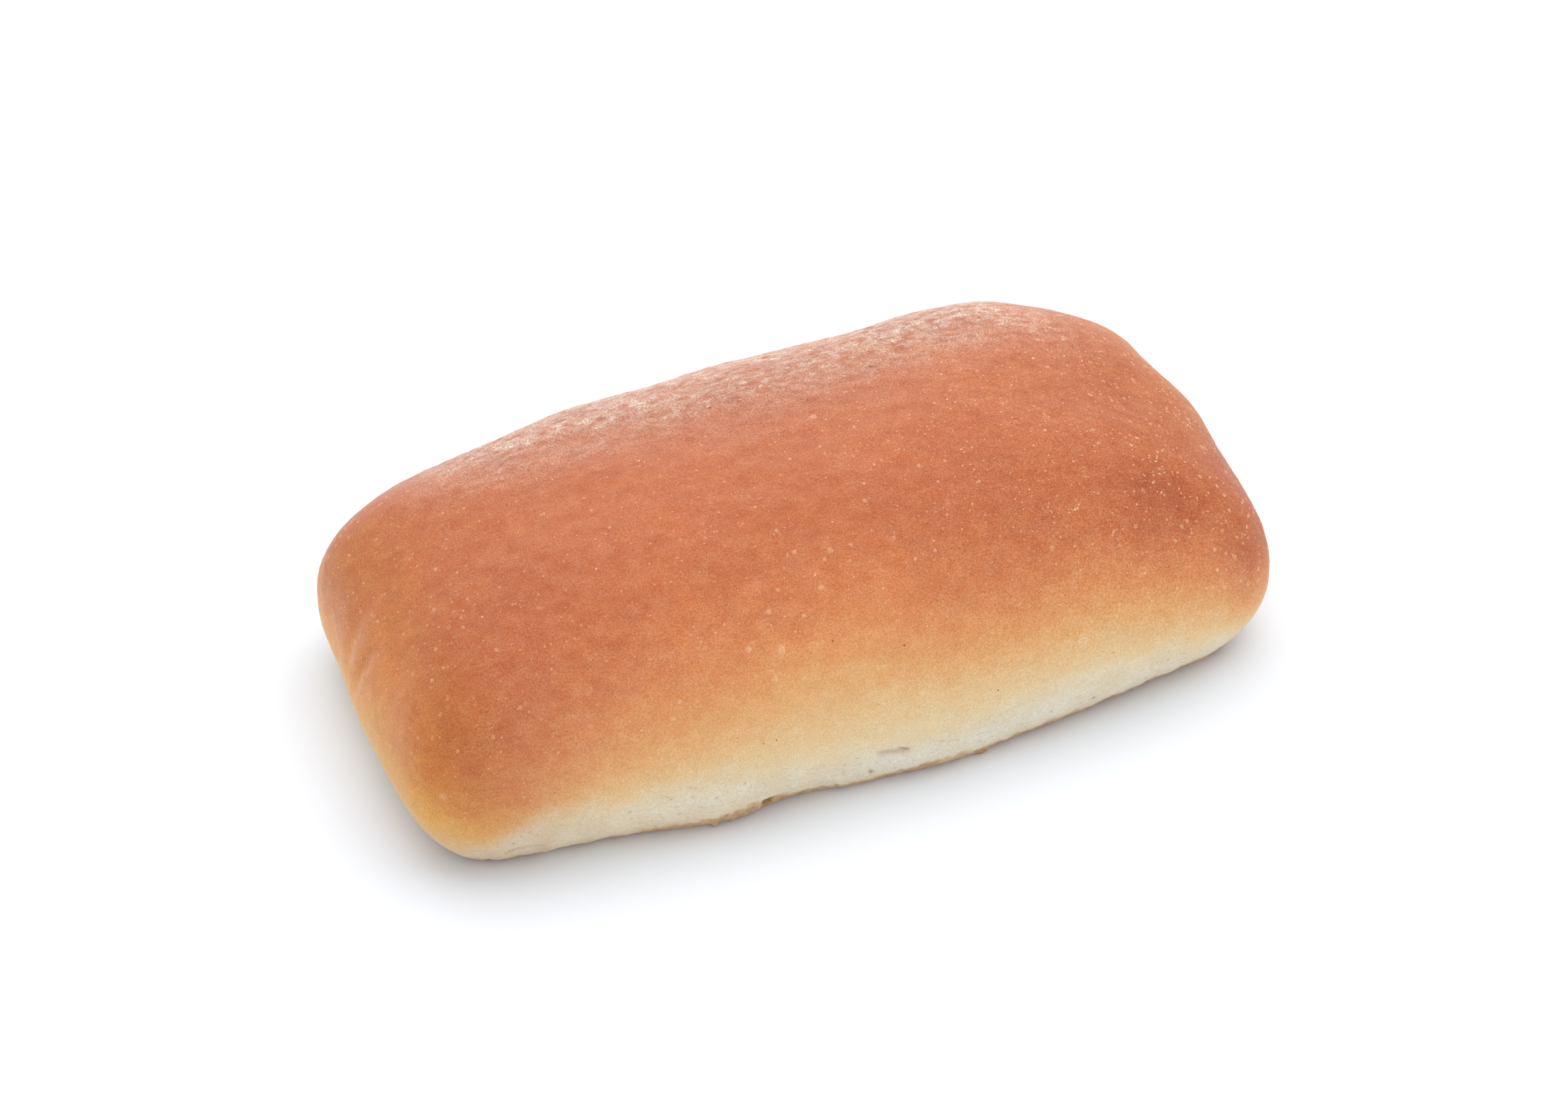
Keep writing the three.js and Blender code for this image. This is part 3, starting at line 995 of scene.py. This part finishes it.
class Paint:
    """A material under construction, and the nodes that it is made of."""

    def __init__(self, name, **constants):
        self.material = bpy.data.materials.new(name)
        self.material.use_nodes = True
        self.tree = self.material.node_tree
        self.surface = self.tree.nodes["Principled BSDF"]
        for socket, value in constants.items():
            self.surface.inputs[socket.replace("_", " ")].default_value = value

    def node(self, kind, settings=None, values=None, output=0):
        """A node of one kind: its settings are set first, then the values or links of its sockets."""
        node = self.tree.nodes.new(kind)
        for key, setting in (settings or {}).items():
            if key == "stops":
                self.set_stops(node.color_ramp, setting)
            else:
                setattr(node, key, setting)
        for key, value in (values or {}).items():
            self.put(node.inputs[key], value)
        return Value(self, node.outputs[output])

    def put(self, socket, value):
        """Links a value to a socket, or sets it if it is a plain number or colour."""
        if isinstance(value, Value):
            self.tree.links.new(value.socket, socket)
        else:
            socket.default_value = value

    def set_stops(self, ramp, stops):
        """Stops of a colour ramp: place and colour."""
        while len(ramp.elements) < len(stops):
            ramp.elements.new(0.5)
        for element, (place, colour) in zip(ramp.elements, stops):
            element.position = place
            element.color = colour

    def mask(self, name):
        """A number that the mesh carries at each point."""
        return self.node("ShaderNodeAttribute", {"attribute_name": name}, output="Fac")

    def place(self):
        """Object coordinates."""
        return self.node("ShaderNodeTexCoord", output="Object")

    def noise(self, size_mm, detail=2.0, roughness=0.5, stretch=None, distortion=0.0):
        """Noise from 0 to 1 with patches of about the given size.

        stretch draws the patches out along the crust's wrinkles, across them and upwards.
        """
        place = self.place()
        if stretch:
            values = {"Vector": place, "Rotation": (0, 0, WRINKLE_TURN), "Scale": stretch}
            place = self.node("ShaderNodeMapping", {"vector_type": "TEXTURE"}, values)
        values = {"Vector": place, "Scale": 1000 / size_mm, "Detail": detail, "Roughness": roughness}
        values["Distortion"] = distortion
        return self.node("ShaderNodeTexNoise", {}, values, output="Fac")

    def dots(self, size_mm, radius, amount):
        """Soft round dots: cells of the given size, of which a share carries a dot, faint or strong."""
        values = {"Vector": self.place(), "Scale": 1000 / size_mm}
        distance = self.node("ShaderNodeTexVoronoi", {}, values, output="Distance")
        colour = self.node("ShaderNodeTexVoronoi", {}, values, output="Color")
        chance = self.node("ShaderNodeSeparateColor", {}, {0: colour}, output=0)
        shown = self.between(chance, 1 - amount, 1)
        return self.between(distance, radius, 0.2 * radius) * shown

    def between(self, value, low, high):
        """0 at low, 1 at high, with a smooth rise."""
        settings = {"interpolation_type": "SMOOTHSTEP", "clamp": True}
        values = {"Value": value, "From Min": low, "From Max": high, "To Min": 0.0, "To Max": 1.0}
        if low > high:
            values.update({"From Min": high, "From Max": low, "To Min": 1.0, "To Max": 0.0})
        return self.node("ShaderNodeMapRange", settings, values)

    def mix(self, share, first, second, blend="MIX"):
        """Colours mixed by a share."""
        settings = {"data_type": "RGBA", "blend_type": blend, "clamp_factor": True}
        return self.node("ShaderNodeMix", settings, {0: share, 6: first, 7: second}, output=2)

    def tint(self, share, colour, pattern, tints):
        """The colour multiplied by the first tint where the pattern is 0 and by the second where it is 1."""
        return self.mix(share, colour, self.mix(pattern, *tints), "MULTIPLY")

    def bump(self, height, distance_mm):
        """Puts a height on the surface's normal."""
        values = {"Strength": 1.0, "Distance": distance_mm * MM, "Height": height}
        self.put(self.surface.inputs["Normal"], self.node("ShaderNodeBump", {}, values, output="Normal"))


def linear(step):
    """Linear light of one channel of a screen colour, both from 0 to 1."""
    return ((step + 0.055) / 1.055) ** 2.4 if step > 0.04045 else step / 12.92


def tone(colour):
    """A colour given in the 0 to 255 steps of a paint chart, as linear light."""
    return tuple(linear(channel / 255) for channel in colour) + (1.0,)


# Browning of the crust, from palest to darkest
BROWNING_TONES = (
    (0.00, (233, 211, 168)),
    (0.08, (233, 200, 148)),
    (0.18, (232, 190, 133)),
    (0.30, (231, 174, 112)),
    (0.42, (226, 156, 97)),
    (0.54, (217, 139, 86)),
    (0.66, (205, 123, 77)),
    (0.76, (191, 110, 68)),
    (0.86, (181, 99, 61)),
    (1.00, (160, 80, 48)),
)
BROWNING_SPAN = 1.16    # browning that the last tone stands for

# Other tones of the crust
HOLLOW_SHADE_TONE = (206, 124, 78)
PAINTED_SHEEN_TONE = (234, 208, 184)
SOFT_DOT_TONE = (232, 176, 132)
PALE_DOT_TONE = (240, 204, 164)
RIGHT_DOT_TONE = (238, 190, 150)
DARK_DOT_TONE = (140, 78, 44)
BLISTER_TONE = (238, 196, 160)

# Tones of the torn crumb, of the foot and of what lies on them
CREAM_TONES = ((231, 212, 175), (237, 223, 193))
WHITE_TONE = (237, 229, 211)
# Painted shade between the crumb's tufts and in its pores
TUFT_SHADE_TONE = (206, 190, 155)
PORE_SHADE_TONE = (170, 152, 120)
FOOT_TONES = ((212, 172, 122), (174, 124, 82))
# Painted shade in the recesses: pores, tears, pits, the fold and the notch
RECESS_SHADE_TONE = (142, 102, 66)
CHAR_TONE = (118, 68, 40)
FIBRE_TONES = ((222, 200, 158), (240, 228, 200))

# Tints that multiply the colour: of the ends, of the right half and the painted shade of the low left end,
# and pairs for the darker and the lighter side of a pattern
END_TINT = (1.03, 1.08, 0.56, 1)
RIGHT_TINT = (0.98, 0.96, 0.91, 1)
SHADE_TINT = (0.89, 0.82, 0.79, 1)
WHITISH_PATCH_TINTS = ((0.97, 0.89, 0.80, 1), (1.03, 1.11, 1.20, 1))
SPECKLE_TINTS = ((0.84, 0.80, 0.75, 1), (1.16, 1.20, 1.27, 1))
WARMTH_TINTS = ((0.98, 0.86, 0.74, 1), (1.02, 1.14, 1.24, 1))
STREAK_TINTS = ((0.93, 0.88, 0.85, 1), (1.06, 1.11, 1.14, 1))

# The point masks that the crust's material reads. A piece that lacks one counts as 0 there.
CRUST_MASKS = (
    "bake", "crumb", "foot", "dull", "crinkle", "hollow", "bloom", "shade", "streaked", "tan", "dotted",
    "white", "stain", "char", "blister", "rim",
)


def baked_colour(paint, mask, grain, fine):
    """The crust's colour: a ramp over browning, made uneven by noise, with tints, painted sheen and painted
    shade in the hollows.
    """
    bake, hollow = mask["bake"], mask["hollow"]
    blister = mask["blister"] * (1 - mask["rim"])
    cloud = paint.noise(13, 2, 0.5, (1.8, 1, 1)) - 0.5
    mottle = paint.noise(2.6, 3, 0.6, (1.5, 1, 1)) - 0.5
    uneven = 0.18 * cloud + (0.31 + 0.20 * mask["crinkle"]) * mottle + 0.22 * grain
    # Paler on blisters, and browner in the small hollows as painted shade
    level = bake + uneven * (0.35 + 0.65 * bake) - 0.12 * blister + 0.13 * hollow
    ramp = {"stops": [(place, tone(colour)) for place, colour in BROWNING_TONES]}
    baked = paint.node("ShaderNodeValToRGB", ramp, {0: level / BROWNING_SPAN})
    baked = paint.mix(mask["tan"] * paint.between(bake, 0.0, 0.5), baked, END_TINT, "MULTIPLY")
    baked = paint.mix(mask["dotted"] * bake, baked, RIGHT_TINT, "MULTIPLY")
    # Whiter and cooler in patches about 2.4 mm across, more so on browner crust
    whitish_patches = paint.between(paint.noise(2.4, 3, 0.6, (1.3, 1, 1)), 0.3, 0.7)
    baked = paint.tint(0.15 + 0.95 * bake, baked, whitish_patches, WHITISH_PATCH_TINTS)
    # Painted shade in the small hollows of the crinkled back, where they catch no sheen
    baked = paint.mix(hollow * 0.3, baked, tone(HOLLOW_SHADE_TONE))
    # Painted sheen: whitish, grainy patches on the back of the crown that stand in for its glossy reflection
    baked = paint.mix(mask["bloom"] * (0.36 + 0.7 * grain + 1.1 * fine), baked, tone(PAINTED_SHEEN_TONE))
    return add_dots(paint, mask, baked, blister)


def add_dots(paint, mask, baked, blister):
    """The crust's colour with its pale and dark dots and its blisters."""
    soft_dots = paint.dots(1.5, 0.18, 0.9) * (0.15 + 0.40 * mask["bake"])
    pale_dots = paint.dots(1.1, 0.15, 0.6) * (0.30 + 0.55 * mask["bake"])
    right_dots = paint.dots(1.0, 0.22, 0.9) * mask["dotted"] * 0.8
    dark_dots = paint.dots(2.3, 0.09, 0.35) * 0.6 * (1 - mask["crumb"])
    baked = paint.mix(soft_dots, baked, tone(SOFT_DOT_TONE))
    baked = paint.mix(pale_dots, baked, tone(PALE_DOT_TONE))
    baked = paint.mix(right_dots, baked, tone(RIGHT_DOT_TONE))
    baked = paint.mix(dark_dots, baked, tone(DARK_DOT_TONE))
    return paint.mix(blister * 0.50, baked, tone(BLISTER_TONE))


def crumb_colour(paint, mask, wool):
    """The torn crumb's colour: mottled cream, whiter in spots, with painted shade between its tufts and in
    its pores.
    """
    patch = paint.between(paint.noise(6, 2, 0.5), 0.3, 0.7)
    cream = paint.mix(patch, *map(tone, CREAM_TONES))
    cream = paint.mix(mask["white"], cream, tone(WHITE_TONE))
    cream = paint.mix(paint.between(wool, 0.56, 0.36) * 0.30, cream, tone(TUFT_SHADE_TONE))
    return paint.mix(paint.dots(0.9, 0.12, 0.5) * 0.35, cream, tone(PORE_SHADE_TONE))


def add_speckle(paint, mask, skin, grain, fine):
    """The whole skin's colour with light and dark specks, partly painted glints, streaks on the right and
    the low left's painted shade.
    """
    baked_share = mask["bake"] * (1 - mask["crumb"])
    # Light and dark specks: grain, and partly painted glints, strongest on the crinkled back
    contrast = 1 + 0.9 * mask["crinkle"] + 0.4 * mask["dotted"]
    speckle = paint.between(0.5 + contrast * (0.30 * grain + 1.05 * fine), 0.24, 0.76)
    skin = paint.tint(0.6 + 0.35 * baked_share, skin, speckle, SPECKLE_TINTS)
    streaks = paint.between(paint.noise(1.1, 3, 0.65, (3, 1, 1)), 0.3, 0.7)
    skin = paint.tint(mask["streaked"], skin, streaks, STREAK_TINTS)
    skin = paint.tint(baked_share, skin, speckle, WARMTH_TINTS)
    return paint.mix(mask["shade"], skin, SHADE_TINT, "MULTIPLY")


def crust_paint():
    """Baked crust, torn crumb and browned foot, by the masks of the mesh, with specks over all of them."""
    paint = Paint("crust_skin", Specular_IOR_Level=0.5, IOR=1.45, Sheen_Weight=0.15, Sheen_Roughness=0.4)
    mask = {name: paint.mask(name) for name in CRUST_MASKS}
    crumb, crinkle = mask["crumb"], mask["crinkle"]
    grain = paint.noise(0.8, 2, 0.65) - 0.5
    fine = paint.noise(0.27, 2, 0.65) - 0.5
    wool = paint.noise(0.55, 3, 0.65, (1.2, 1, 1), distortion=1.5)

    skin = paint.mix(crumb, baked_colour(paint, mask, grain, fine), crumb_colour(paint, mask, wool))
    crusty = paint.between(paint.noise(1.6, 3, 0.6), 0.3, 0.7)
    skin = paint.mix(mask["foot"] * 0.85, skin, paint.mix(crusty, *map(tone, FOOT_TONES)))
    # Painted shade in the recesses of the torn crumb
    skin = paint.mix(mask["stain"], skin, tone(RECESS_SHADE_TONE))
    skin = paint.mix(mask["char"], skin, tone(CHAR_TONE))
    paint.put(paint.surface.inputs["Base Color"], add_speckle(paint, mask, skin, grain, fine))

    rough = 0.28 + 0.42 * mask["dull"] + 0.25 * grain
    rough = rough + (0.85 - rough) * crumb
    paint.put(paint.surface.inputs["Roughness"], rough)

    pucker = paint.noise(1.3, 3, 0.6, (1.6, 1, 1)) - 0.5
    pimples = (1 + 3.0 * crinkle) * (0.5 * grain + 0.7 * fine)
    paint.bump(pimples + 1.6 * crinkle * pucker + crumb * (1.1 * wool), 0.10)
    return paint.material


def fibre_paint():
    """Pale crumb fibres and lint, slightly uneven from strand to strand."""
    paint = Paint("crumb_fibre", Specular_IOR_Level=0.3)
    shade = paint.mask("shade") + 0.5 * (paint.noise(0.8, 2) - 0.5)
    paint.put(paint.surface.inputs["Base Color"], paint.mix(shade, *map(tone, FIBRE_TONES)))
    paint.put(paint.surface.inputs["Roughness"], 0.6 + 0.2 * shade)
    paint.bump(paint.noise(0.3, 2), 0.02)
    return paint.material


# ---------------------------------------------------------------- scene

def set_stage():
    """Pale floor that runs past the view on all sides."""
    bpy.ops.mesh.primitive_plane_add(size=FLOOR_SIZE, location=(0, 0, 0))
    floor = bpy.context.object
    floor.name = "floor"
    paint = bpy.data.materials.new("floor_white")
    paint.use_nodes = True
    surface = paint.node_tree.nodes["Principled BSDF"]
    surface.inputs["Base Color"].default_value = FLOOR_COLOUR
    surface.inputs["Roughness"].default_value = 0.9
    surface.inputs["Specular IOR Level"].default_value = 0.0
    floor.data.materials.append(paint)


def add_area(name, place, size, power):
    """A rectangular soft light that faces the roll."""
    light = bpy.data.lights.new(name, "AREA")
    light.shape = "RECTANGLE"
    light.size, light.size_y = size
    light.energy = power
    lamp = bpy.data.objects.new(name, light)
    lamp.location = place
    lamp.rotation_euler = (Vector(LIGHT_TARGET) - Vector(place)).to_track_quat("-Z", "Y").to_euler()
    bpy.context.scene.collection.objects.link(lamp)
    return lamp


def set_light():
    """White surroundings, a wide soft box overhead and a low card behind that only shows as sheen."""
    world = bpy.data.worlds.new("studio")
    bpy.context.scene.world = world
    world.use_nodes = True
    sky = world.node_tree.nodes["Background"]
    sky.inputs["Color"].default_value = (1, 1, 1, 1)
    sky.inputs["Strength"].default_value = WORLD_STRENGTH
    soft_box = add_area("soft_box", SOFT_BOX_PLACE, SOFT_BOX_SIZE, SOFT_BOX_WATTS)
    soft_box.visible_glossy = False
    card = add_area("sheen_card", SHEEN_CARD_PLACE, SHEEN_CARD_SIZE, SHEEN_CARD_WATTS)
    card.visible_diffuse = False
    card.visible_camera = False


def set_camera():
    """Camera in front of the roll and a little to its left, looking down at it."""
    azimuth, elevation = math.radians(CAMERA_AZIMUTH), math.radians(CAMERA_ELEVATION)
    back = Vector((
        math.sin(azimuth) * math.cos(elevation),
        -math.cos(azimuth) * math.cos(elevation),
        math.sin(elevation),
    ))
    lens = bpy.data.cameras.new("camera")
    lens.lens = CAMERA_LENS
    lens.sensor_width = SENSOR_WIDTH
    lens.clip_start, lens.clip_end = 0.01, 20
    camera = bpy.data.objects.new("camera", lens)
    camera.location = Vector(CAMERA_TARGET) + back * CAMERA_DISTANCE
    camera.rotation_euler = back.to_track_quat("Z", "Y").to_euler()
    bpy.context.scene.collection.objects.link(camera)
    bpy.context.scene.camera = camera


def dress(piece, material):
    """Gives a piece its material and ties it to the roll."""
    piece.data.materials.append(material)
    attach(piece, "root")
    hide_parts("bread_roll")


set_camera()
set_light()
set_stage()
bpy.context.scene.view_settings.view_transform = "Standard"

crust = crust_paint()
fibre = fibre_paint()
loaf, loaf_surface, loaf_quads, loaf_normals = make_loaf()
dress(loaf, crust)
dress(make_torn_side("front_torn_side", 1, FRONT_BAND_GRID), crust)
dress(make_torn_side("back_torn_side", -1, BACK_BAND_GRID), crust)
dress(make_blisters(loaf_surface, loaf_quads, loaf_normals), crust)
dress(make_specks(loaf_surface, loaf_quads, loaf_normals), crust)
dress(make_fibres(loaf_surface, loaf_quads, loaf_normals), fibre)
dress(make_lint(loaf_surface, loaf_normals), fibre)
dress(make_scraps(), crust)
